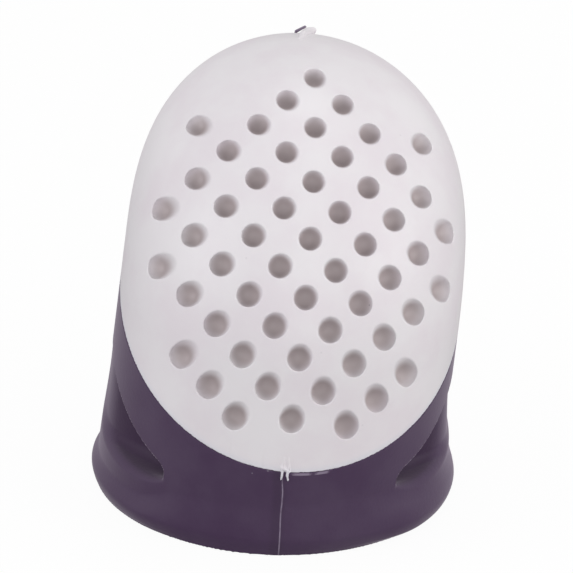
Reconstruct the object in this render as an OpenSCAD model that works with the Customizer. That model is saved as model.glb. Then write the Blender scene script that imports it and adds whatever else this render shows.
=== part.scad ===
// A sewing finger stall in two materials, moulded in two shots.
// A hard white cap covers the fingertip and the pressing face, and a soft purple sleeve
// with a flared rim holds the finger. Front is -Y, up is +Z, the rim stands on Z = 0.
// The stall's form: a circle rises straight from the rim, then its front half swings back
// about a level axis and closes over the fingertip.

/* [Finger stall] */
// Inside radius of the stall, for a medium finger
bore_r = 8.05; // [7:0.05:9.5]
// Thickness of the wall round the finger
wall = 2; // [1.8:0.05:2.6]
// Height at which the straight wall ends and the pressing face bends back
bend_z = 11.7; // [10.5:0.1:15]
// Distance that the axis of the bend lies behind the axis of the stall
bend_back = 4; // [3:0.1:5]
// Radius that rounds the sleeve off at the top of its back
crown_r = 2.4; // [1:0.1:3.5]
// Lean of the soft stall towards +X over its upright rim, as it stands, in degrees
lean = 3.5; // [0:0.1:5]
// Height above the rim's underside about which it leans
lean_z = 4.2; // [3:0.1:5.5]

/* [Rim] */
// How far the rim stands out beyond the wall
rim_out = 0.7; // [0.3:0.05:1.2]
// Radius of the rim's bulging side
rim_bulge_r = 4.2; // [3:0.1:6]
// Radius of the rim's lower edge
rim_edge_r = 0.35; // [0.2:0.05:0.5]
// Width of the lead-in at the mouth
mouth_w = 0.7; // [0.3:0.05:1.2]
// Height of the lead-in at the mouth
mouth_h = 1.3; // [0.8:0.1:2]

/* [Cap border] */
// Height of the cap's lower edge at the front
border_z = 5.5; // [4.6:0.1:7]
// Slope of the cap's edge along the sides, in degrees
border_slope = 32; // [28:0.5:35]
// Where the edge turns up towards the back, measured behind the axis of the stall
border_turn = -1; // [-3:0.1:1]
// Radius of that turn
border_turn_r = 27.4; // [26:0.1:32]

/* [Pits] */
// Reach of each row from the top down, in half pitches to either side of the middle
pit_reach = [0, 1, 4, 3, 4, 5, 4, 5, 4, 3, 4, 3, 2];
// Half of the pitch between the pits of one row
pit_half_pitch = 1.65; // [1.5:0.01:1.7]
// Pitch between the rows
pit_row_pitch = 1.73; // [1.55:0.01:1.8]
// How much wider the outer pits of a row stand
pit_spread = 0.12; // [0:0.01:0.2]
// How much closer the outermost rows stand
pit_squeeze = 0.14; // [0:0.01:0.3]
// Rise of the direction in which the pits are pressed, in degrees
pit_rise = 34.4; // [30:0.1:38]
// Radius of a pit at its mouth in the top row
pit_r_top = 0.66; // [0.5:0.01:0.75]
// Radius of a pit at its mouth in the bottom row
pit_r_low = 0.76; // [0.5:0.01:0.85]
// Depth of a pit
pit_depth = 0.95; // [0.6:0.05:1.1]
// Draft of a pit's side, in degrees
pit_draft = 12; // [6:1:15]

/* [Side scoops] */
// Azimuth of the front end of a scoop, from the front
scoop_azimuth = 43; // [38:0.5:50]
// Height of a scoop's lip at its front end
scoop_z = 4.5; // [4.2:0.1:5]
// Slope of the lip, in degrees
scoop_slope = 31; // [26:0.5:34]
// Radius of a scoop's front end
scoop_end_r = 0.7; // [0.5:0.05:0.9]
// Depth of the middle of that end below the wall's surface
scoop_sink = 0.6; // [0.3:0.05:0.7]
// Direction in which a scoop runs out of the wall, from straight back, in degrees
scoop_turn = 60; // [54:1:66]
// Half angle at which a scoop widens towards the back, in degrees
scoop_widen = 35; // [28:1:36]

/* [Gate mark] */
// Width of the torn gate at the top of the cap
gate_w = 0.9; // [0.5:0.1:1.4]
// Height of the torn gate
gate_h = 0.55; // [0.3:0.05:0.8]

/* [Hidden] */
$fn = 96;
outer_r = bore_r + wall;
rim_r = outer_r + rim_out;
far = 60;
bore_crown_r = crown_r - wall / 10;
crown_share = 0.55;
rim_bulge_x = rim_r - rim_bulge_r;
rim_h = 0.75 * rim_bulge_r;
foot_z = rim_h / 2;
sunk = 4;
border_turn_z = border_z + (border_turn + outer_r) * tan(border_slope);
scoop_l = 1.2 * rim_r;
row_mid = (len(pit_reach) - 1) / 2;
pit_clear = 3.6;

// Where the pressing face lies at a place across it (x) and along it (v), seen in the
// direction of the pits: how far it stands out from the axis of the bend.
function bent(x, v) = sqrt(pow(bend_back + sqrt(pow(outer_r, 2) - pow(x, 2)), 2) - pow(v, 2));
function upright(x, v) =
    (bend_back + v * sin(pit_rise) + sqrt(pow(outer_r, 2) - pow(x, 2))) / cos(pit_rise);
function above_bend(x, v) = v * cos(pit_rise) + bent(x, v) * sin(pit_rise) > 0;
function face_out(x, v) = above_bend(x, v) ? bent(x, v) : upright(x, v);

function pit_x(i) = i * pit_half_pitch + pit_spread * pow(i / 4, 3);
function pit_v(j) = (row_mid - j) * pit_row_pitch - pit_squeeze * pow((row_mid - j) / row_mid, 3);
function pit_r(j) = pit_r_top + (pit_r_low - pit_r_top) * j / (2 * row_mid);

// One half of a disc, to be turned about its flat side.
module half_disc(r) {
    intersection() {
        circle(r);
        translate([0, -r]) square([r, 2 * r]);
    }
}

// The body that the half circle sweeps when it swings about the level axis of the bend.
module bend_sweep(r) {
    translate([0, bend_back, bend_z])
        rotate([0, 90, 0])
            rotate_extrude()
                union() {
                    translate([bend_back, 0]) half_disc(r);
                    translate([0, -r]) square([bend_back, 2 * r]);
                }
}

// Upright body of the stall from below its rim, with its top edge rounded by crown.
module upright_wall(r, crown) {
    top = bend_z + sqrt(4 * bend_back * r) - crown * crown_share;
    rotate_extrude()
        union() {
            translate([0, -sunk]) square([r, top + sunk]);
            polygon([[0, 0], [r - crown, 0], [r - crown, top + crown], [0, top + r]]);
            translate([r - crown, top]) half_disc(crown);
        }
}

// The whole stall's form at a radius: the outside at outer_r, the finger's room at bore_r.
module stall_form(r, crown) {
    difference() {
        upright_wall(r, crown);
        difference() {
            translate([-far / 2, -far / 2, bend_z]) cube([far, far, far]);
            bend_sweep(r);
        }
    }
}

// All that lies above the cap's border, seen from the side.
module above_border() {
    turn_y = border_turn - border_turn_r * sin(border_slope);
    turn_z = border_turn_z + border_turn_r * cos(border_slope);
    start_y = border_turn - far;
    translate([-far / 2, 0, 0])
        rotate([90, 0, 90])
            linear_extrude(far)
                union() {
                    translate([turn_y, turn_z]) circle(border_turn_r);
                    polygon([
                        [border_turn, border_turn_z],
                        [turn_y, turn_z],
                        [turn_y, turn_z + far],
                        [start_y, turn_z + far],
                        [start_y, border_turn_z - far * tan(border_slope)]
                    ]);
                }
}

// A tapered pin with a ball end, its mouth at the origin and its tip down.
module pit_pin(mouth_r) {
    ball_r = (mouth_r - pit_depth * tan(pit_draft)) * cos(pit_draft) / (1 - sin(pit_draft));
    ball_z = ball_r - pit_depth;
    join_r = ball_r * cos(pit_draft);
    join_z = ball_z + ball_r * sin(pit_draft);
    rotate_extrude()
        union() {
            translate([0, ball_z]) half_disc(ball_r);
            polygon([
                [0, ball_z],
                [join_r, join_z],
                [join_r + (pit_clear - join_z) * tan(pit_draft), pit_clear],
                [0, pit_clear]
            ]);
        }
}

// All pins, parallel to one another and each as deep as the face lies there.
module pits() {
    for (j = [0 : len(pit_reach) - 1])
        for (i = [-pit_reach[j] : 2 : pit_reach[j]])
            translate([0, bend_back, bend_z])
                rotate([90 - pit_rise, 0, 0])
                    translate([pit_x(i), pit_v(j), face_out(pit_x(i), pit_v(j))])
                        pit_pin(pit_r(j));
}

// The torn gate at the very back of the cap's top.
module gate_mark() {
    gate_z = bend_z + sqrt(4 * bend_back * outer_r);
    translate([0, outer_r - gate_w, gate_z - gate_w / 4])
        rotate([-25, 0, 0])
            cylinder(r1 = gate_w / 2, r2 = gate_w / 3, h = gate_h + gate_w / 2);
}

// A scoop under a crisp lip: a cone with a ball end, halved by the plane of the lip.
module scoop() {
    sink_r = outer_r - scoop_sink;
    scoop_x = sink_r * sin(scoop_azimuth);
    scoop_y = -sink_r * cos(scoop_azimuth);
    wide_r = scoop_end_r / cos(scoop_widen) + scoop_l * tan(scoop_widen);
    translate([scoop_x, scoop_y, scoop_z])
        rotate([scoop_slope, 0, 0])
            rotate([0, 0, -scoop_turn])
                intersection() {
                    rotate([-90, 0, 0])
                        rotate_extrude()
                            union() {
                                half_disc(scoop_end_r);
                                polygon([
                                    [0, 0],
                                    [scoop_end_r * cos(scoop_widen), -scoop_end_r * sin(scoop_widen)],
                                    [wide_r, scoop_l],
                                    [0, scoop_l]
                                ]);
                            }
                    translate([-far / 2, -far / 2, -far]) cube([far, far, far]);
                }
}

// The flared rim round the foot of the sleeve, solid inside.
module rim_form() {
    rotate_extrude()
        union() {
            square([rim_r - rim_edge_r, 2 * rim_edge_r]);
            translate([rim_r - rim_edge_r, rim_edge_r]) half_disc(rim_edge_r);
            intersection() {
                translate([rim_bulge_x, rim_edge_r]) circle(rim_bulge_r);
                translate([0, rim_edge_r]) square([rim_r, rim_h]);
            }
        }
}

// The lead-in at the mouth, run on inwards until it lies inside the leaning bore.
module mouth() {
    lap = 0.01;
    run_on = 0.5;
    translate([0, 0, -lap])
        cylinder(
            r1 = bore_r + mouth_w,
            r2 = bore_r - run_on * mouth_w,
            h = (1 + run_on) * mouth_h
        );
}

module leaning() {
    translate([0, 0, lean_z]) rotate([0, lean, 0]) translate([0, 0, -lean_z]) children();
}

module dimpled_cap() {
    color([0.88, 0.87, 0.89])
        leaning()
            difference() {
                intersection() {
                    union() {
                        stall_form(outer_r, crown_r);
                        gate_mark();
                    }
                    above_border();
                }
                stall_form(bore_r, bore_crown_r);
                pits();
            }
}

module soft_sleeve() {
    color([0.30, 0.24, 0.34])
        difference() {
            union() {
                intersection() {
                    leaning() stall_form(outer_r, crown_r);
                    translate([-far / 2, -far / 2, foot_z]) cube([far, far, far]);
                }
                rim_form();
            }
            leaning() above_border();
            leaning() stall_form(bore_r, bore_crown_r);
            mouth();
            scoop();
            mirror([1, 0, 0]) scoop();
        }
}

dimpled_cap();
soft_sleeve();
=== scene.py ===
import math

import bpy
import numpy as np
from bpy.props import FloatProperty, FloatVectorProperty, PointerProperty
from mathutils import Matrix, Vector


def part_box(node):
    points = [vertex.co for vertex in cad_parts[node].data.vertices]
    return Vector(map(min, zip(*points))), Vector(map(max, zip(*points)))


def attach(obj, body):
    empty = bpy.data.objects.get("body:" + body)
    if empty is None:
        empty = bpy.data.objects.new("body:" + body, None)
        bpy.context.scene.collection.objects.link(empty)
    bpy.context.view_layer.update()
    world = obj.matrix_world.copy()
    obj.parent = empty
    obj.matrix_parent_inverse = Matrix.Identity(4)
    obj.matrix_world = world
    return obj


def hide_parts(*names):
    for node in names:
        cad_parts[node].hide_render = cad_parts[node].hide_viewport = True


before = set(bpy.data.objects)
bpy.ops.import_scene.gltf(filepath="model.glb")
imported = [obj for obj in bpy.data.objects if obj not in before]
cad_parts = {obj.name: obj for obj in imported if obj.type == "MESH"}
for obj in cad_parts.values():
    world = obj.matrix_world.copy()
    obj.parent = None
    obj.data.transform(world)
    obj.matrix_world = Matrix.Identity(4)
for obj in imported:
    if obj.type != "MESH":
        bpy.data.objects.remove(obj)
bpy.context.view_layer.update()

bl_info = {
    "name": "Finger stall",
    "version": (1, 0, 0),
    "blender": (4, 5, 0),
    "location": "3D View > Sidebar > Finger stall",
    "description": "Builds the pitted cap and the soft sleeve of a sewing finger stall",
    "category": "Object",
}

# Lengths below are in millimetres of the real stall, and MM turns them into metres
MM = 0.001
# Keeps a division from nought
TINY = 1e-9
# Distance that stands for nothing near
FAR = 9.0
# Room round a piece's box in which its surface is looked for
BOX_ROOM = 0.6

CAP_TRIANGLES = 190000
SLEEVE_TRIANGLES = 170000
SLEEVE_COARSER = 1.25

# Reach of each row of pits from the top down, in half pitches to either side of the middle
PIT_REACH = (0, 1, 4, 3, 4, 5, 4, 5, 4, 3, 4, 3, 2)
# Half pitches from the middle at which a pit stands wider by the whole spread
SPREAD_REACH = 4
# How far round its middle a pit is looked for
PIT_ROOM = 1.5

# Threads of torn plastic in the stall's own frame, each as its points and their radii
FLASH = (
    (((-0.15, -10.03, 6.45), (-0.19, -10.06, 5.85), (-0.17, -10.09, 5.35), (-0.20, -10.10, 5.02)),
     (0.02, 0.06, 0.08, 0.04)),
    (((0.07, -10.03, 6.50), (0.19, -10.06, 5.85), (0.13, -10.09, 5.35), (0.22, -10.10, 5.02)),
     (0.02, 0.06, 0.09, 0.05)),
    (((-0.17, -10.05, 5.80), (0.19, -10.05, 5.60)), (0.12, 0.10)),
    (((-0.62, 7.10, 25.36), (-0.40, 8.10, 25.20), (-0.05, 9.10, 24.90), (0.32, 9.55, 24.80)),
     (0.12, 0.20, 0.26, 0.20)),
)
# How far round its thread flash is looked for
FLASH_ROOM = 1.0
# A thread of rubber that stands up beside the gate, and the radii at each stretch's ends
GATE_SLIVER = ((-0.75, 9.60, 23.80), (-0.67, 9.50, 24.68), (-0.17, 9.50, 25.04))
GATE_SLIVER_R = (0.1, 0.08)
# Beyond these, what stands out of the sleeve by more than the last is that thread
GATE_Y = 8
GATE_Z = 20
GATE_STANDS = 0.04

# The parting line down the sleeve's front: its place, how far and how fast it wanders, and the
# heights between which the wandering sets in
PARTING_X = -0.04
PARTING_WANDER = 0.05
PARTING_WAVE = 1.9
PARTING_PHASE = 0.6
PARTING_FREE = (1.5, 4.5)
# What a point behind the stall's axis gets as its distance from the line
PARTING_NONE = 3
# Where the pale sliver of rubber along the border begins and ends at the front
SLIVER_BEGINS = (0.3, 0.6)
SLIVER_ENDS = (2.5, 2.9)
# Thickness over the bore that counts as the inside and takes no painted shade of the scoops
INSIDE_SKIN = 0.2

# Sizes of the patterns in the finishes, as waves or cells in a metre
GRAIN_SIZE = 5000.0
MOTTLE_SIZE = 260.0
SPECK_SIZE = 1100.0
TORN_SIZE = 1300.0

# Lamps, each with its stage setting, place, diameter and tint, in metres; all aim at one point
LAMP_AIM = (0, 0, 0.012)
LAMPS = (
    ("left", (-0.25, -0.10, 0.10), 0.20, (0.98, 0.98, 1)),
    ("right_box", (0.25, -0.10, 0.10), 0.20, (1, 0.99, 0.98)),
    ("front", (0.02, -0.30, 0.03), 0.20, (1, 1, 1)),
    ("top", (0.02, 0.10, 0.28), 0.16, (1, 1, 1)),
)
# The floor's half side, the cells along a side and how far it lies under the rim, in metres
FLOOR_SIDE = 3.0
FLOOR_CELLS = 8
FLOOR_GAP = 0.00002
# Share of the floor's tone that lights the stall, and share of plain white that the camera sees
FLOOR_BOUNCE = 0.45
FLOOR_WHITE = 0.95


def length(name, text, mm):
    """A size in metres, written here in millimetres."""
    return FloatProperty(name=name, description=text, default=mm * MM, unit="LENGTH",
                         subtype="DISTANCE", precision=5)


def angle(name, text, degrees):
    """An angle in radians, written here in degrees."""
    return FloatProperty(name=name, description=text, default=math.radians(degrees),
                         unit="ROTATION", subtype="ANGLE")


def share(name, text, value):
    """A plain number, such as a share of the radius."""
    return FloatProperty(name=name, description=text, default=value)


def power(name, text, watts):
    return FloatProperty(name=name, description=text, default=watts, min=0, unit="POWER")


def colour(name, text, value):
    return FloatVectorProperty(name=name, description=text, default=value, size=3,
                               min=0, max=1, subtype="COLOR")


class StallSizes(bpy.types.PropertyGroup):
    """Sizes of the stall: the part's own, with the crown, rim and flare as the photograph shows"""

    bore_r: length("Bore radius", "Inside radius of the stall", 8.05)
    wall: length("Wall", "Thickness of the wall round the finger", 2)
    bend_z: length("Bend height", "Height at which the pressing face bends back", 11.7)
    bend_back: length("Bend offset", "How far the bend's axis lies behind the stall's", 4)
    crown_r: length("Crown radius", "Rounding at the top of the back", 1.4)
    lean: angle("Lean", "Lean of the soft stall over its rim", 3.5)
    lean_z: length("Lean height", "Height about which the stall leans", 4.2)
    flare: length("Flare", "How far the wall's sides widen towards the rim", 0.22)
    flare_uneven: length("Uneven flare", "How much more they do so at the right", 0.13)
    flare_from: share("Flare from", "Where round the wall the flare sets in, from the middle", 0.6)
    flare_low: length("Flare foot", "Height below which the flare is full", 2)
    flare_high: length("Flare top", "Height at which the flare has run out", 7)
    rim_out: length("Rim overhang", "How far the rim stands out beyond the wall", 0.7)
    rim_bulge_r: length("Rim bulge", "Radius of the rim's bulging side", 2.4)
    rim_uneven: length("Uneven bulge", "How much larger that radius is at the right", 1.2)
    rim_front: length("Rim front", "How much less the rim stands out at the front", 0.5)
    rim_front_from: share("Rim front from", "Where round the rim its front sets in", 0.6)
    rim_flat: length("Rim front bulge", "How much flatter the rim bulges at the front", 5.5)
    rim_foot_w: length("Rim foot width", "Width of the slope under the rim's widest part", 0.42)
    rim_foot_h: length("Rim foot height", "Height of the rim's widest part", 0.5)
    rim_edge_r: length("Rim edge", "Rounding of the rim's lower edges", 0.4)
    rim_hollow_r: length("Rim hollow", "Radius of the hollow above the rim", 0.3)
    mouth_w: length("Mouth width", "Width of the lead-in at the mouth", 0.7)
    mouth_h: length("Mouth height", "Height of the lead-in at the mouth", 1.3)
    mouth_hollow_r: length("Mouth hollow", "Radius between the lead-in and the bore", 0.5)
    mouth_edge_r: length("Mouth edge", "Rounding of the edge round the mouth", 0.25)
    cap_edge_r: length("Cap edge", "Rounding of the cap's edge at the bore", 0.1)
    border_z: length("Border height", "Height of the cap's edge at the front", 5.5)
    border_slope: angle("Border slope", "Slope of the cap's edge along the sides", 32)
    border_turn: length("Border turn", "Where the edge turns up towards the back", -1)
    border_turn_r: length("Border turn radius", "Radius of that turn", 27.4)
    border_edge_r: length("Border edge", "Rounding of both pieces along the border", 0.06)
    step: length("Mesh step", "Size of the grid that the surfaces are drawn on", 0.08)


class PitSizes(bpy.types.PropertyGroup):
    """Sizes of the pits in the pressing face"""

    half_pitch: length("Half pitch", "Half of the pitch between pits of a row", 1.65)
    row_pitch: length("Row pitch", "Pitch between the rows", 1.73)
    spread: length("Spread", "How much wider the outer pits stand", 0.12)
    squeeze: length("Squeeze", "How much closer the outermost rows stand", 0.14)
    rise: angle("Rise", "Rise of the direction in which the pits are pressed", 34.4)
    r_top: length("Upper radius", "Radius of a pit in the top row", 0.66)
    r_low: length("Lower radius", "Radius of a pit in the bottom row", 0.76)
    depth: length("Depth", "Depth of a pit", 0.95)
    draft: angle("Draft", "Draft of a pit's side", 12)
    lip: length("Lip", "Rounding of a pit's lip", 0.07)


class ScoopSizes(bpy.types.PropertyGroup):
    """Sizes of the scoops in the sleeve's sides"""

    azimuth: angle("Azimuth", "Where a scoop's front end is, from the front", 43)
    z: length("Height", "Height of a scoop's lip at its front end", 4.5)
    slope: angle("Slope", "Slope of the lip", 31)
    end_r: length("End radius", "Radius of a scoop's front end", 0.7)
    sink: length("Sink", "Depth of that end below the surface", 0.6)
    turn: angle("Turn", "Direction in which a scoop runs out of the wall", 60)
    widen: angle("Widening", "Half angle at which a scoop widens", 35)
    drop: length("Drop", "How far a scoop's axis lies under its lip", 0.58)
    shelf_z: length("Shelf height", "Height of a scoop's lower side at its front end", 2.95)
    shelf_y: length("Shelf front", "How far forward of the axis that height is taken", 7)
    shelf_rise: angle("Shelf slope", "Slope of a scoop's lower side", 4)
    shelf_r: length("Shelf hollow", "Radius between a scoop's lower side and its end", 0.8)
    back_r: length("Back hollow", "Radius between a scoop's back and its sides", 0.5)
    nose: length("Nose", "Radius between a scoop's lip and the rest of it", 0.55)
    crisp: length("Crisp edge", "Rounding of a scoop's lip", 0.12)
    soft: length("Soft edge", "How much rounder a scoop's lower edge is", 0.4)
    soft_from: length("Soft from", "How far under the lip the edge begins to soften", 0.35)
    soft_to: length("Soft to", "How far under the lip the edge is soft", 0.9)
    deep: length("Greatest depth", "Depth of a scoop under the wall's surface", 1.7)
    full: share("Full depth", "How far forward a scoop is that deep, as a share of the radius", 0.62)
    fade: share("Fade", "Where a scoop runs out, as a share of the radius", 0.05)
    uneven: share("Uneven fade", "How much farther forward the left one runs out", -0.14)
    clear: length("Clearance", "How far over the surface a scoop's back lies in the end", 0.02)


class Finishes(bpy.types.PropertyGroup):
    """Colours of the two materials and the stage"""

    cap: colour("Cap", "Hard white moulded plastic", (0.79, 0.76, 0.785))
    cap_warm: colour("Cap, warmer", "The same plastic in its warmer mottles", (0.7584, 0.7068, 0.7458))
    cap_edge: colour("Cap, edge", "The same plastic where the rubber shows through", (0.62, 0.65, 0.74))
    # Painted shade: the darker, browner tone laid in the pits, strongest at their floors
    pit: colour("Pits", "The same plastic inside the pits", (0.42, 0.36, 0.36))
    dust: colour("Dust", "Dark specks on the cap", (0.13, 0.11, 0.13))
    sleeve: colour("Sleeve", "Soft purple rubber", (0.049, 0.023, 0.064))
    bloom: colour("Bloom", "Paler film on the rubber", (0.092, 0.065, 0.110))
    # Painted shade: a dark strip laid just to the left of the parting line
    shade: colour("Shade", "The rubber beside the parting line", (0.0172, 0.0081, 0.0224))
    # Painted shade: the dark tone laid in the scoops where little light reaches
    recess: colour("Scoops", "The same rubber inside the scoops", (0.022, 0.004, 0.031))
    flash: colour("Flash", "Thin rubber along the border and the parting line", (0.27, 0.22, 0.30))
    lint: colour("Lint", "Pale specks on the rubber", (0.30, 0.27, 0.32))
    sheen: colour("Sheen", "Tint of the rubber seen from aside", (0.84, 0.75, 0.87))
    floor: colour("Floor", "Pale floor", (0.95, 0.95, 0.95))


class StageSettings(bpy.types.PropertyGroup):
    """The camera's place and the strength of the lamps"""

    yaw: angle("Yaw", "How far the camera stands to the left of the front", 3.95)
    rise: angle("Rise", "How far the camera stands above the horizon", 26.7)
    roll: angle("Roll", "Turn of the camera about its own axis", 3.29)
    width: length("View width", "Width of the view at the stall", 33.84)
    right: length("View centre to the right", "Middle of the view, right of the foot", 0.87)
    up: length("View centre up", "Middle of the view, above the foot", 11.25)
    distance: length("Distance", "Distance of the camera", 1200)
    world: share("World", "Strength of the even light", 0.57)
    left: power("Left lamp", "Power of the soft box at the left", 0.25)
    right_box: power("Right lamp", "Power of the soft box at the right", 0.29)
    front: power("Front lamp", "Power of the low soft box at the front", 0.24)
    top: power("Top lamp", "Power of the soft box above the back", 0.14)


def round_max(a, b, k):
    """Both distances' greater one, with the edge between them rounded by k."""
    return np.minimum(np.maximum(a, b), -k) + np.hypot(np.maximum(a + k, 0), np.maximum(b + k, 0))


def round_min(a, b, k):
    """Both distances' lesser one, with the corner between them filled by k."""
    return -round_max(-a, -b, k)


def ramp(x, a, b):
    """Goes smoothly from 0 where x is a to 1 where it is b."""
    t = np.clip((x - a) / (b - a), 0, 1)
    return t * t * (3 - 2 * t)


def polar(p):
    """Distance from the upright axis, and how much of it lies forward and to the right."""
    r = np.hypot(p[:, 0], p[:, 1])
    return r, -p[:, 1] / (r + TINY), p[:, 0] / (r + TINY)


def pin(across, along, r, spread):
    """Distance to a cone that opens along its axis from a ball of radius r."""
    c, s = math.cos(spread), math.sin(spread)
    return np.where(across * s + along * c < 0, np.hypot(across, along) - r,
                    across * c - along * s - r)


def strand(q, a, b, radius_a, radius_b):
    """Distance to a thread from a to b."""
    way = b - a
    t = np.clip(((q - a) @ way) / (way @ way), 0, 1)
    return np.linalg.norm(q - a - t[:, None] * way, axis=1) - radius_a - t * (radius_b - radius_a)


class Form:
    """The stall's form as distances in millimetres, negative inside it.

    Places p are in the part's frame, and places q in the frame of the leaning stall.
    """

    def __init__(self, scene):
        groups = (("", scene.stall_sizes), ("pit_", scene.pit_sizes), ("scoop_", scene.scoop_sizes))
        for mark, group in groups:
            for name in type(group).__annotations__:
                value = getattr(group, name)
                is_length = group.bl_rna.properties[name].unit == "LENGTH"
                setattr(self, mark + name, value / MM if is_length else value)
        self.outer_r = self.bore_r + self.wall
        self.rim_r = self.outer_r + self.rim_out
        self.bore_crown_r = self.crown_r - self.wall / 10
        self.turn_z = self.border_z + (self.border_turn + self.outer_r) * math.tan(self.border_slope)

    def upright(self, p):
        """Undoes the lean: the place in the stall's own frame."""
        c, s = math.cos(self.lean), math.sin(self.lean)
        x, z = p[:, 0], p[:, 2] - self.lean_z
        return np.stack([x * c - z * s, p[:, 1], x * s + z * c + self.lean_z], 1)

    def stall(self, q, r, crown):
        """Distance to a round wall of radius r that bends back over the fingertip."""
        x, y, z = q.T
        back, up = y - self.bend_back, z - self.bend_z
        round_wall = np.hypot(x, y)
        swing = np.hypot(back, up) + TINY
        out = swing - self.bend_back
        past = out > 0
        bent_wall = np.where(past, np.hypot(out, x), np.abs(x)) + TINY
        inward = np.where(past, out * back / swing, 0)
        agree = (x * x + inward * y) / (round_wall * bent_wall + TINY)
        both = round_max(round_wall - r, bent_wall - r, crown * np.clip(1 - agree, 0, 1))
        return np.where(up > 0, both, round_wall - r)

    def outside(self, q):
        return self.stall(q, self.outer_r, self.crown_r)

    def bore(self, q):
        return self.stall(q, self.bore_r, self.bore_crown_r)

    def above_border(self, q):
        """Distance above the cap's edge, seen from the side."""
        y, z = q[:, 1] - self.border_turn, q[:, 2] - self.turn_z
        c, s = math.cos(self.border_slope), math.sin(self.border_slope)
        bow = self.border_turn_r
        return np.where(y * c + z * s < 0, z * c - y * s, bow - np.hypot(y + bow * s, z - bow * c))

    def cap(self, p):
        """Distance to the hard cap."""
        q = self.upright(p)
        body = round_max(self.outside(q), -self.above_border(q), self.border_edge_r)
        body = round_min(body, self.flash(q), self.border_edge_r)
        body = round_max(body, -self.bore(q), self.cap_edge_r)
        return round_max(body, -self.pits(q), self.pit_lip)

    def pits(self, q):
        """Distance to the nearest of the pins that press the pits."""
        far = np.full(len(q), FAR)
        c, s = math.cos(self.pit_rise), math.sin(self.pit_rise)
        rel = q - (0, self.bend_back, self.bend_z)
        across, up, out = rel[:, 0], rel[:, 1] * s + rel[:, 2] * c, rel[:, 2] * s - rel[:, 1] * c
        half = (len(PIT_REACH) - 1) / 2
        for row, reach in enumerate(PIT_REACH):
            v = (half - row) * self.pit_row_pitch - self.pit_squeeze * ((half - row) / half) ** 3
            mouth = self.pit_r_top + (self.pit_r_low - self.pit_r_top) * row / (2 * half)
            ball = ((mouth - self.pit_depth * math.tan(self.pit_draft))
                    * math.cos(self.pit_draft) / (1 - math.sin(self.pit_draft)))
            in_row = np.flatnonzero(np.abs(up - v) < PIT_ROOM)
            for i in range(-reach, reach + 1, 2):
                x = i * self.pit_half_pitch + self.pit_spread * (i / SPREAD_REACH) ** 3
                near = in_row[np.abs(across[in_row] - x) < PIT_ROOM]
                height = out[near] - self.face(x, v) + self.pit_depth - ball
                d = pin(np.hypot(across[near] - x, up[near] - v), height, ball, self.pit_draft)
                far[near] = np.minimum(far[near], d)
        return far

    def face(self, x, v):
        """How far the pressing face stands out from the bend's axis along the pits."""
        chord = math.sqrt(self.outer_r ** 2 - x ** 2)
        bent = math.sqrt((self.bend_back + chord) ** 2 - v ** 2)
        c, s = math.cos(self.pit_rise), math.sin(self.pit_rise)
        if v * c + bent * s > 0:
            return bent
        return (self.bend_back + v * s + chord) / c

    def flash(self, q):
        """Thin plastic torn at the front of the border and at the gate on the top."""
        far = np.full(len(q), FAR)
        for path, radii in FLASH:
            path = np.array(path)
            room = np.ptp(path, 0).max() + FLASH_ROOM
            near = np.flatnonzero(np.abs(q - path.mean(0)).max(1) < room)
            for a, b, ra, rb in zip(path, path[1:], radii, radii[1:]):
                far[near] = np.minimum(far[near], strand(q[near], a, b, ra, rb))
        return far

    def sleeve(self, p):
        """Distance to the soft sleeve."""
        q = self.upright(p)
        wall = self.outside(q) - self.widening(p)
        body = np.maximum(round_min(wall, self.rim(p), self.rim_hollow_r), -p[:, 2])
        room = round_min(self.bore(q), self.mouth(p), self.mouth_hollow_r)
        body = round_max(body, -room, self.mouth_edge_r)
        body = round_max(body, self.above_border(q), self.border_edge_r)
        for a, b in zip(GATE_SLIVER, GATE_SLIVER[1:]):
            body = np.minimum(body, strand(q, np.array(a), np.array(b), *GATE_SLIVER_R))
        for side in (1, -1):
            body = self.scooped(body, wall, p, side)
        return body

    def widening(self, p):
        """How far the wall's sides flare out towards the rim."""
        aside = polar(p)[2]
        flare = (self.flare + self.flare_uneven * aside) * ramp(np.abs(aside), self.flare_from, 1)
        return flare * (1 - ramp(p[:, 2], self.flare_low, self.flare_high))

    def rim(self, p):
        """Distance to the rim's outside, which stands out least at the front."""
        r, forward, aside = polar(p)
        front = ramp(forward, self.rim_front_from, 1)
        out = r - self.rim_r + self.rim_front * front
        up = p[:, 2] - self.rim_foot_h
        bulge = self.rim_bulge_r + self.rim_flat * front + self.rim_uneven * aside
        foot_l = math.hypot(self.rim_foot_w, self.rim_foot_h)
        under = (out * self.rim_foot_h - up * self.rim_foot_w) / foot_l
        side = np.where(up < 0, out, np.hypot(out + bulge, up) - bulge)
        return round_max(round_max(side, under, self.rim_edge_r), -p[:, 2], self.rim_edge_r)

    def mouth(self, p):
        """Distance to the cone of the lead-in."""
        taper = self.mouth_w / self.mouth_h
        return (polar(p)[0] - self.bore_r - self.mouth_w + p[:, 2] * taper) / math.hypot(1, taper)

    def scooped(self, body, wall, p, side):
        """The sleeve's body less the scoop at its right (side 1) or its left (side -1)."""
        cone, lip = self.scoop_cone(p, side)
        rise = (p[:, 1] + self.scoop_shelf_y) * math.tan(self.scoop_shelf_rise)
        shelf = p[:, 2] - self.scoop_shelf_z - rise
        scoop = round_min(-cone, shelf, self.scoop_shelf_r)
        scoop = round_min(scoop, wall + self.scoop_depth(p), self.scoop_back_r)
        scoop = round_min(scoop, -lip, self.scoop_nose)
        soft = self.scoop_soft * ramp(-lip, self.scoop_soft_from, self.scoop_soft_to)
        return round_max(body, scoop, self.scoop_crisp + soft)

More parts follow.
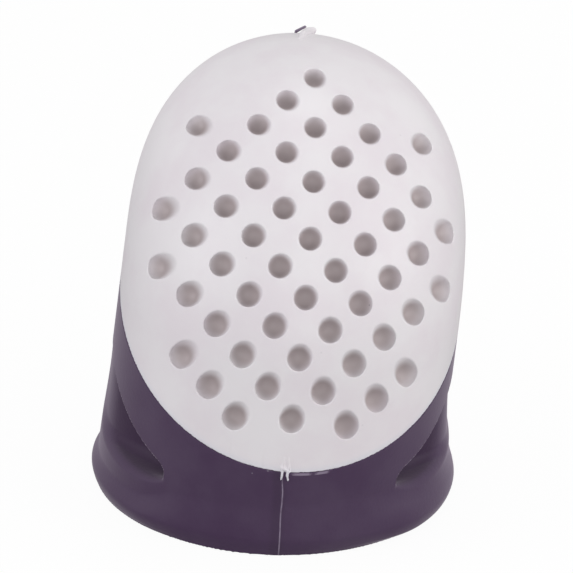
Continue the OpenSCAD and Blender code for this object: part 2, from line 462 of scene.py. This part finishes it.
    def scoop_cone(self, p, side):
        """Distance to a scoop's cone, and the height over the plane of its lip."""
        sink_r = self.outer_r - self.scoop_sink
        x = p[:, 0] * side - sink_r * math.sin(self.scoop_azimuth)
        y = p[:, 1] + sink_r * math.cos(self.scoop_azimuth)
        z = p[:, 2] - self.scoop_z
        c, s = math.cos(self.scoop_slope), math.sin(self.scoop_slope)
        y, z = y * c + z * s, z * c - y * s
        c, s = math.cos(self.scoop_turn), math.sin(self.scoop_turn)
        x, y = x * c - y * s, x * s + y * c
        across = np.hypot(x, z + self.scoop_drop)
        return pin(across, y, self.scoop_end_r, self.scoop_widen), z

    def scoop_depth(self, p):
        """How deep a scoop may reach under the wall: it runs out towards the sides."""
        forward = polar(p)[1]
        end = self.scoop_fade + self.scoop_uneven * (p[:, 0] < 0)
        return self.scoop_deep * ramp(forward, end, self.scoop_full) - self.scoop_clear

    def in_scoops(self, p):
        """Depth under the wall's surface, inside the scoops only, which sets the scoops' painted shade.
        """
        under_lip = np.maximum(self.scoop_cone(p, 1)[1], self.scoop_cone(p, -1)[1]) < 0
        not_inside = polar(p)[0] > self.bore_r + INSIDE_SKIN
        return -self.outside(self.upright(p)) * under_lip * not_inside

    def parting(self, p):
        """Distance to the right of the parting line at the front."""
        x, y, z = p.T
        wander = PARTING_WANDER * np.sin(PARTING_WAVE * z + PARTING_PHASE) * ramp(z, *PARTING_FREE)
        return np.where(y < 0, x - (PARTING_X + wander), PARTING_NONE)

    def sliver_run(self, p):
        """1 where rubber squeezed out along the front of the border, 0 elsewhere."""
        x, y = p[:, 0], p[:, 1]
        return ramp(x, *SLIVER_BEGINS) * (1 - ramp(x, *SLIVER_ENDS)) * (y < 0)

    def at_gate(self, p):
        """1 on the thread of rubber beside the gate, 0 elsewhere."""
        stands_out = self.outside(self.upright(p)) > GATE_STANDS
        return stands_out * (p[:, 1] > GATE_Y) * (p[:, 2] > GATE_Z) * 1.0


def sampled(field, low, high, step, block=6, block_reach=1.2, blocks_at_once=1000):
    """Values of field on a grid, exact in the blocks that the surface may pass through."""
    blocks = np.ceil((high - low) / (step * block)).astype(int)
    shape = blocks * block + 1
    index = np.stack(np.meshgrid(*[np.arange(n) for n in blocks], indexing="ij"), -1).reshape(-1, 3)
    middle = field(low + (index + 0.5) * block * step)
    values = middle.reshape(blocks)
    for axis in range(3):
        values = np.repeat(values, block, axis)
    values = np.pad(values, [(0, 1)] * 3, mode="edge")
    near = index[np.abs(middle) < block_reach * block * step]
    grid = np.arange(block + 1)
    inner = np.stack(np.meshgrid(grid, grid, grid, indexing="ij"), -1).reshape(-1, 3)
    for part in np.array_split(near * block, max(1, len(near) // blocks_at_once)):
        places = (part[:, None] + inner).reshape(-1, 3)
        values[tuple(places.T)] = field(low + places * step)
    return values, shape


def net(field, low, high, step):
    """Points and four-sided faces of the surface on which field is nought."""
    values, shape = sampled(field, low, high, step)
    inside = values < 0
    corners = [(i, j, k) for i in (0, 1) for j in (0, 1) for k in (0, 1)]
    count = sum(inside[i:shape[0] - 1 + i, j:shape[1] - 1 + j, k:shape[2] - 1 + k].astype(np.int8)
                for i, j, k in corners)
    cells = np.argwhere((count > 0) & (count < len(corners)))
    total, hits = np.zeros(cells.shape), np.zeros(len(cells))
    for a in corners:
        for b in corners:
            if sum(b) - sum(a) != 1 or any(v > w for v, w in zip(a, b)):
                continue
            va, vb = values[tuple((cells + a).T)], values[tuple((cells + b).T)]
            cut = (va < 0) != (vb < 0)
            way = np.where(cut, va / np.where(cut, va - vb, 1), 0)[:, None]
            total += np.where(cut[:, None], np.array(a) + way * (np.array(b) - a), 0)
            hits += cut
    points = (cells + total / hits[:, None]) * step + low
    number = np.full([n - 1 for n in shape], -1, dtype=np.int64)
    number[tuple(cells.T)] = np.arange(len(cells))
    faces = []
    axes = np.eye(3, dtype=int)
    for axis in range(3):
        here = np.argwhere(np.diff(inside.astype(np.int8), axis=axis) != 0)
        u, v = axes[(axis + 1) % 3], axes[(axis + 2) % 3]
        quad = np.stack([number[tuple((here - d).T)] for d in (u + v, v, (0, 0, 0), u)], 1)
        turn = inside[tuple(here.T)]
        faces.append(np.where(turn[:, None], quad, quad[:, ::-1]))
    return points, np.concatenate(faces)


def growth(field, p, e=0.01):
    """The direction in which field grows, from places e apart."""
    g = np.empty(p.shape)
    for axis in range(3):
        d = np.zeros(3)
        d[axis] = e
        g[:, axis] = (field(p + d) - field(p - d)) / (2 * e)
    return g


def settle(field, p, reach, rounds=2, least_growth=0.2):
    """Moves points onto the surface, none farther than reach."""
    start = p.copy()
    for _ in range(rounds):
        g = growth(field, p)
        p = p - g * (field(p) / np.maximum((g * g).sum(1), least_growth))[:, None]
        move = p - start
        far = np.linalg.norm(move, axis=1)
        p = start + move * np.minimum(1, reach / np.maximum(far, TINY))[:, None]
    return p


def plain_mesh(name, points, faces):
    """A mesh of four-sided faces, its points given in millimetres."""
    mesh = bpy.data.meshes.new(name)
    mesh.vertices.add(len(points))
    mesh.vertices.foreach_set("co", (points * MM).ravel())
    mesh.loops.add(faces.size)
    mesh.loops.foreach_set("vertex_index", faces.ravel())
    mesh.polygons.add(len(faces))
    mesh.polygons.foreach_set("loop_start", np.arange(0, faces.size, faces.shape[1]))
    mesh.update(calc_edges=True)
    return mesh


def thinned(mesh, triangles):
    """An object with the mesh, brought down to a number of triangles where it is smooth."""
    piece = bpy.data.objects.new(mesh.name, mesh)
    bpy.context.scene.collection.objects.link(piece)
    thin = piece.modifiers.new("Thin", "DECIMATE")
    thin.ratio = min(1.0, triangles / (2 * len(mesh.polygons)))
    seen = piece.evaluated_get(bpy.context.evaluated_depsgraph_get())
    piece.data = bpy.data.meshes.new_from_object(seen)
    piece.modifiers.clear()
    bpy.data.meshes.remove(mesh)
    piece.data.name = piece.name
    return piece


def drawn_object(name, node, field, step, triangles, room=0.75):
    """An object with the surface of field, looked for round the node's box, and its places."""
    low, high = [np.array(v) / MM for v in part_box(node)]
    points, faces = net(field, low - BOX_ROOM, high + BOX_ROOM, step)
    points = settle(field, points, step * room)
    piece = thinned(plain_mesh(name, points, faces), triangles)
    mesh = piece.data
    places = np.empty(len(mesh.vertices) * 3)
    mesh.vertices.foreach_get("co", places)
    places = places.reshape(-1, 3) / MM
    out = growth(field, places)
    out /= np.maximum(np.linalg.norm(out, axis=1), TINY)[:, None]
    mesh.polygons.foreach_set("use_smooth", np.ones(len(mesh.polygons), dtype=bool))
    mesh.normals_split_custom_set_from_vertices(out)
    return piece, places


def give_values(piece, name, values):
    """Keeps one number for each point, for the material to read."""
    layer = piece.data.attributes.new(name, "FLOAT", "POINT")
    layer.data.foreach_set("value", values.astype(np.float32))


def opaque(tone):
    return (*tone, 1)


class Shader:
    """A short way to lay out a tree of nodes."""

    column_w = 190
    row_h = 60
    rows = 5

    def __init__(self, tree):
        self.tree = tree
        self.count = 0

    def add(self, kind, inputs=None, **settings):
        """A node with its inputs linked or set, and its settings."""
        node = self.tree.nodes.new(kind)
        node.location = (self.count * self.column_w, -self.row_h * (self.count % self.rows))
        self.count += 1
        for key, value in settings.items():
            setattr(node, key, value)
        for key, value in (inputs or {}).items():
            self.feed(node.inputs[key], value)
        return node

    def feed(self, socket, value):
        if isinstance(value, bpy.types.NodeSocket):
            self.tree.links.new(value, socket)
        else:
            socket.default_value = value

    def value(self, name):
        """One of the numbers that give_values keeps."""
        return self.add("ShaderNodeAttribute", attribute_name=name).outputs["Fac"]

    def math(self, operation, *values, clamp=False):
        return self.add("ShaderNodeMath", dict(enumerate(values)), operation=operation,
                        use_clamp=clamp).outputs[0]

    def ramp(self, value, low, high, to_low=0.0, to_high=1.0):
        """Goes smoothly from to_low where value is low to to_high where it is high."""
        inputs = {"Value": value, "From Min": low, "From Max": high,
                  "To Min": to_low, "To Max": to_high}
        return self.add("ShaderNodeMapRange", inputs, interpolation_type="SMOOTHSTEP").outputs[0]

    def between(self, value, low, high, soft):
        """Mask of the values from low to high, with soft edges."""
        rises = self.ramp(value, low - soft, low)
        falls = self.ramp(value, high, high + soft, to_low=1.0, to_high=0.0)
        return self.math("MULTIPLY", rises, falls)

    def mix(self, factor, a, b):
        node = self.add("ShaderNodeMix", data_type="RGBA")
        given = {"Factor_Float": factor, "A_Color": a, "B_Color": b}
        for socket in node.inputs:
            if socket.identifier in given:
                self.feed(socket, given[socket.identifier])
        return next(s for s in node.outputs if s.identifier == "Result_Color")


def moulded_grain():
    """Node group: fine moulded texture, slow mottling and sparse specks of lint."""
    name = "Moulded grain"
    if name in bpy.data.node_groups:
        return bpy.data.node_groups[name]
    tree = bpy.data.node_groups.new(name, "ShaderNodeTree")
    sizes = {"Grain size": GRAIN_SIZE, "Mottle size": MOTTLE_SIZE, "Speck size": SPECK_SIZE}
    for label, value in sizes.items():
        socket = tree.interface.new_socket(name=label, in_out="INPUT", socket_type="NodeSocketFloat")
        socket.default_value = value
    for label in ("Grain", "Mottle", "Speck"):
        tree.interface.new_socket(name=label, in_out="OUTPUT", socket_type="NodeSocketFloat")
    s = Shader(tree)
    given = s.add("NodeGroupInput")
    place = s.add("ShaderNodeTexCoord").outputs["Object"]
    grain = s.add("ShaderNodeTexNoise", {"Vector": place, "Scale": given.outputs["Grain size"],
                                         "Detail": 3.0, "Roughness": 0.6})
    mottle = s.add("ShaderNodeTexNoise", {"Vector": place, "Scale": given.outputs["Mottle size"],
                                          "Detail": 4.0, "Roughness": 0.55})
    cells = s.add("ShaderNodeTexVoronoi", {"Vector": place, "Scale": given.outputs["Speck size"]})
    chance = s.add("ShaderNodeSeparateColor", {0: cells.outputs["Color"]})
    dot = s.ramp(cells.outputs["Distance"], 0.05, 0.09, to_low=1.0, to_high=0.0)
    rare = s.math("GREATER_THAN", chance.outputs[0], 0.94)
    s.add("NodeGroupOutput", {"Grain": grain.outputs["Fac"], "Mottle": mottle.outputs["Fac"],
                              "Speck": s.math("MULTIPLY", dot, rare)})
    return tree


def new_material(name):
    """An empty material, its tree and the moulded grain placed in it."""
    material = bpy.data.materials.new(name)
    material.use_nodes = True
    material.node_tree.nodes.clear()
    s = Shader(material.node_tree)
    grain = s.add("ShaderNodeGroup", node_tree=moulded_grain())
    return material, s, grain.outputs


def close_material(material, s, shader, tone):
    """Ends the tree with the shader, and gives the plain tone to Blender's solid view."""
    end = s.add("ShaderNodeOutputMaterial", {"Surface": shader.outputs[0]})
    end.is_active_output = True
    material.diffuse_color = opaque(tone)
    return material


def cap_material(finish):
    """Hard white plastic, darkened and browner in the pits by painted shade, and bluish at its thin
    edge.
    """
    material, s, grain = new_material("hard white plastic")
    deep = s.value("depth")
    mottled = s.ramp(grain["Mottle"], 0.35, 0.7)
    base = s.mix(mottled, opaque(finish.cap), opaque(finish.cap_warm))
    # Painted shade in the pits: the base goes towards the pit tone the deeper the point lies
    pit_painted_shade = s.ramp(deep, 0.05, 0.8, to_high=0.9)
    base = s.mix(pit_painted_shade, base, opaque(finish.pit))
    thin_edge = s.ramp(s.value("border"), 0.0, 0.5, to_low=0.35, to_high=0.0)
    base = s.mix(thin_edge, base, opaque(finish.cap_edge))
    dusty = s.ramp(deep, 0.1, 0.5, to_low=0.10, to_high=0.65)
    base = s.mix(s.math("MULTIPLY", grain["Speck"], dusty), base, opaque(finish.dust))
    rough = s.ramp(grain["Mottle"], 0.3, 0.75, to_low=0.38, to_high=0.48)
    bump = s.add("ShaderNodeBump", {"Height": grain["Grain"], "Strength": 0.06,
                                    "Distance": 0.04 * MM})
    shader = s.add("ShaderNodeBsdfPrincipled", {"Base Color": base, "Roughness": rough,
                                                "Normal": bump.outputs[0], "IOR": 1.49,
                                                "Specular IOR Level": 0.4})
    return close_material(material, s, shader, finish.cap)


def pale_rubber(s, line):
    """Mask of the thin rubber: the parting line, the sliver at the border and the gate's thread."""
    place = s.add("ShaderNodeTexCoord").outputs["Object"]
    noise = s.add("ShaderNodeTexNoise", {"Vector": place, "Scale": TORN_SIZE, "Detail": 3.0})
    torn = noise.outputs["Fac"]
    ridge = s.math("MULTIPLY", s.between(line, -0.025, 0.025, 0.03),
                   s.ramp(torn, 0.30, 0.60, to_low=0.25))
    sliver = s.math("MULTIPLY", s.value("sliver"), s.between(s.value("border"), 0.05, 0.13, 0.04))
    sliver = s.math("MULTIPLY", sliver, s.ramp(torn, 0.38, 0.52))
    pale = s.math("MAXIMUM", ridge, sliver, clamp=True)
    return s.math("MAXIMUM", pale, s.value("gate"), clamp=True)


def sleeve_material(finish):
    """Soft purple rubber with a dull sheen, with painted shade in the scoops and beside the parting
    line, and pale where it is thin.
    """
    material, s, grain = new_material("soft purple rubber")
    line = s.value("parting")
    pale = pale_rubber(s, line)
    bloomed = s.ramp(grain["Mottle"], 0.35, 0.75, to_high=0.3)
    base = s.mix(bloomed, opaque(finish.sleeve), opaque(finish.bloom))
    # Painted shade beside the parting line
    parting_painted_shade = s.math("MULTIPLY", s.between(line, -0.35, -0.05, 0.4), 0.25)
    base = s.mix(parting_painted_shade, base, opaque(finish.shade))
    # Painted shade in the scoops, darker the deeper the point lies under the wall's surface
    scoop_painted_shade = s.ramp(s.value("depth"), 0.06, 0.6, to_high=0.9)
    base = s.mix(scoop_painted_shade, base, opaque(finish.recess))
    base = s.mix(s.math("MULTIPLY", pale, 0.8), base, opaque(finish.flash))
    base = s.mix(s.math("MULTIPLY", grain["Speck"], 0.4), base, opaque(finish.lint))
    rough = s.ramp(grain["Mottle"], 0.3, 0.75, to_low=0.50, to_high=0.60)
    high = s.math("ADD", pale, s.math("MULTIPLY", grain["Grain"], 0.5))
    bump = s.add("ShaderNodeBump", {"Height": high, "Strength": 0.3, "Distance": 0.05 * MM})
    shader = s.add("ShaderNodeBsdfPrincipled", {"Base Color": base, "Roughness": rough,
                                                "Normal": bump.outputs[0], "IOR": 1.45,
                                                "Specular IOR Level": 0.3,
                                                "Sheen Weight": 0.58, "Sheen Roughness": 0.45,
                                                "Sheen Tint": opaque(finish.sheen)})
    return close_material(material, s, shader, finish.sleeve)


def place_piece(piece, node, material):
    """Gives the piece its material and puts it in the place of its node."""
    piece.data.materials.clear()
    piece.data.materials.append(material)
    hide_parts(node)
    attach(piece, "root")


class STALL_OT_cap(bpy.types.Operator):
    """Builds the hard cap with its pits and the torn gate at its top"""

    bl_idname = "stall.cap"
    bl_label = "Dimpled cap"

    def execute(self, context):
        form = Form(context.scene)
        step = form.step * 1
        piece, places = drawn_object("cap", "dimpled_cap", form.cap, step, CAP_TRIANGLES)
        q = form.upright(places)
        give_values(piece, "depth", -form.outside(q))
        give_values(piece, "border", form.above_border(q))
        place_piece(piece, "dimpled_cap", cap_material(context.scene.finishes))
        return {"FINISHED"}


class STALL_OT_sleeve(bpy.types.Operator):
    """Builds the soft sleeve with its rim, its scoops and the parting line at the front"""

    bl_idname = "stall.sleeve"
    bl_label = "Soft sleeve"

    def execute(self, context):
        form = Form(context.scene)
        step = form.step * SLEEVE_COARSER * 1
        piece, places = drawn_object("sleeve", "soft_sleeve", form.sleeve, step, SLEEVE_TRIANGLES)
        give_values(piece, "parting", form.parting(places))
        give_values(piece, "border", -form.above_border(form.upright(places)))
        give_values(piece, "depth", form.in_scoops(places))
        give_values(piece, "sliver", form.sliver_run(places))
        give_values(piece, "gate", form.at_gate(places))
        place_piece(piece, "soft_sleeve", sleeve_material(context.scene.finishes))
        return {"FINISHED"}


class STALL_OT_stage(bpy.types.Operator):
    """Makes the pale floor, the soft lamps and the camera"""

    bl_idname = "stall.stage"
    bl_label = "Stage"

    def execute(self, context):
        scene = context.scene
        scene.view_settings.view_transform = "Standard"
        self.floor(scene)
        self.world(scene)
        for setting, place, size, tint in LAMPS:
            self.lamp(scene, setting, place, size, tint)
        self.camera(scene, scene.stage_settings)
        return {"FINISHED"}

    def floor(self, scene):
        """A wide floor with its middle just under the rim, white to the camera but for the shadow."""
        at = np.linspace(-FLOOR_SIDE, FLOOR_SIDE, FLOOR_CELLS + 1)
        row = len(at)
        points = [(x, y, -FLOOR_GAP) for y in at for x in at]
        first = [j * row + i for j in range(FLOOR_CELLS) for i in range(FLOOR_CELLS)]
        faces = [(n, n + 1, n + row + 1, n + row) for n in first]
        mesh = bpy.data.meshes.new("floor")
        mesh.from_pydata(points, [], faces)
        floor = bpy.data.objects.new("floor", mesh)
        scene.collection.objects.link(floor)
        material = bpy.data.materials.new("pale floor")
        material.use_nodes = True
        material.node_tree.nodes.clear()
        s = Shader(material.node_tree)
        tone = scene.finishes.floor
        bounce = [v * FLOOR_BOUNCE for v in tone]
        seen = s.add("ShaderNodeLightPath").outputs["Is Camera Ray"]
        matt = s.add("ShaderNodeBsdfDiffuse", {"Color": s.mix(seen, opaque(bounce), opaque(tone))})
        glow = s.add("ShaderNodeEmission", {"Color": (1, 1, 1, 1), "Strength": 1.0})
        white = s.math("MULTIPLY", seen, FLOOR_WHITE)
        both = s.add("ShaderNodeMixShader", {0: white, 1: matt.outputs[0], 2: glow.outputs[0]})
        s.add("ShaderNodeOutputMaterial", {"Surface": both.outputs[0]})
        mesh.materials.append(material)

    def world(self, scene):
        """White to the camera and in reflections, and an even light otherwise."""
        world = bpy.data.worlds.new("Studio")
        scene.world = world
        world.use_nodes = True
        world.node_tree.nodes.clear()
        s = Shader(world.node_tree)
        path = s.add("ShaderNodeLightPath").outputs
        mirrored = s.math("MAXIMUM", path["Is Glossy Ray"], path["Is Transmission Ray"])
        seen = s.math("MAXIMUM", path["Is Camera Ray"], mirrored)
        even = s.add("ShaderNodeBackground", {"Color": (1, 1, 1, 1),
                                              "Strength": scene.stage_settings.world})
        white = s.add("ShaderNodeBackground", {"Color": (1, 1, 1, 1), "Strength": 1.0})
        both = s.add("ShaderNodeMixShader", {0: seen, 1: even.outputs[0], 2: white.outputs[0]})
        s.add("ShaderNodeOutputWorld", {"Surface": both.outputs[0]})

    def lamp(self, scene, setting, place, size, tint):
        """A round soft box that faces the stall, with the power of its setting."""
        data = bpy.data.lights.new(setting, "AREA")
        data.shape = "DISK"
        data.size = size
        data.energy = getattr(scene.stage_settings, setting)
        data.color = tint
        lamp = bpy.data.objects.new(setting, data)
        lamp.location = place
        lamp.rotation_mode = "QUATERNION"
        lamp.rotation_quaternion = (Vector(LAMP_AIM) - Vector(place)).to_track_quat("-Z", "Y")
        scene.collection.objects.link(lamp)

    def camera(self, scene, stage):
        """A long lens from the photograph's side, framed on the stall."""
        yaw, rise, roll = stage.yaw, stage.rise, stage.roll
        right = Vector((math.cos(yaw), -math.sin(yaw), 0))
        up = Vector((math.sin(rise) * math.sin(yaw), math.sin(rise) * math.cos(yaw), math.cos(rise)))
        ahead = up.cross(right)
        across = right * math.cos(roll) + up * math.sin(roll)
        over = up * math.cos(roll) - right * math.sin(roll)
        data = bpy.data.cameras.new("Camera")
        data.lens = data.sensor_width * stage.distance / stage.width
        data.clip_start = stage.distance / 12
        data.clip_end = stage.distance * 4
        camera = bpy.data.objects.new("Camera", data)
        centre = across * stage.right + over * stage.up
        turn = Matrix((across, over, -ahead)).transposed()
        camera.matrix_world = Matrix.Translation(centre - ahead * stage.distance) @ turn.to_4x4()
        scene.collection.objects.link(camera)
        scene.camera = camera


GROUPS = {"stall_sizes": StallSizes, "pit_sizes": PitSizes, "scoop_sizes": ScoopSizes,
          "finishes": Finishes, "stage_settings": StageSettings}
OPERATORS = (STALL_OT_cap, STALL_OT_sleeve, STALL_OT_stage)


class STALL_PT_panel(bpy.types.Panel):
    """Lists the stall's pieces and their sizes"""

    bl_idname = "STALL_PT_panel"
    bl_label = "Finger stall"
    bl_space_type = "VIEW_3D"
    bl_region_type = "UI"
    bl_category = "Finger stall"

    def draw(self, context):
        for operator in OPERATORS:
            self.layout.operator(operator.bl_idname)
        for name, group in GROUPS.items():
            box = self.layout.box()
            for prop in group.__annotations__:
                box.prop(getattr(context.scene, name), prop)


CLASSES = (*GROUPS.values(), *OPERATORS, STALL_PT_panel)


def register():
    for cls in CLASSES:
        bpy.utils.register_class(cls)
    for name, group in GROUPS.items():
        setattr(bpy.types.Scene, name, PointerProperty(type=group))


def unregister():
    for name in GROUPS:
        delattr(bpy.types.Scene, name)
    for cls in reversed(CLASSES):
        bpy.utils.unregister_class(cls)


def main():
    register()
    bpy.ops.stall.cap()
    bpy.ops.stall.sleeve()
    bpy.ops.stall.stage()


if __name__ == "__main__":
    main()
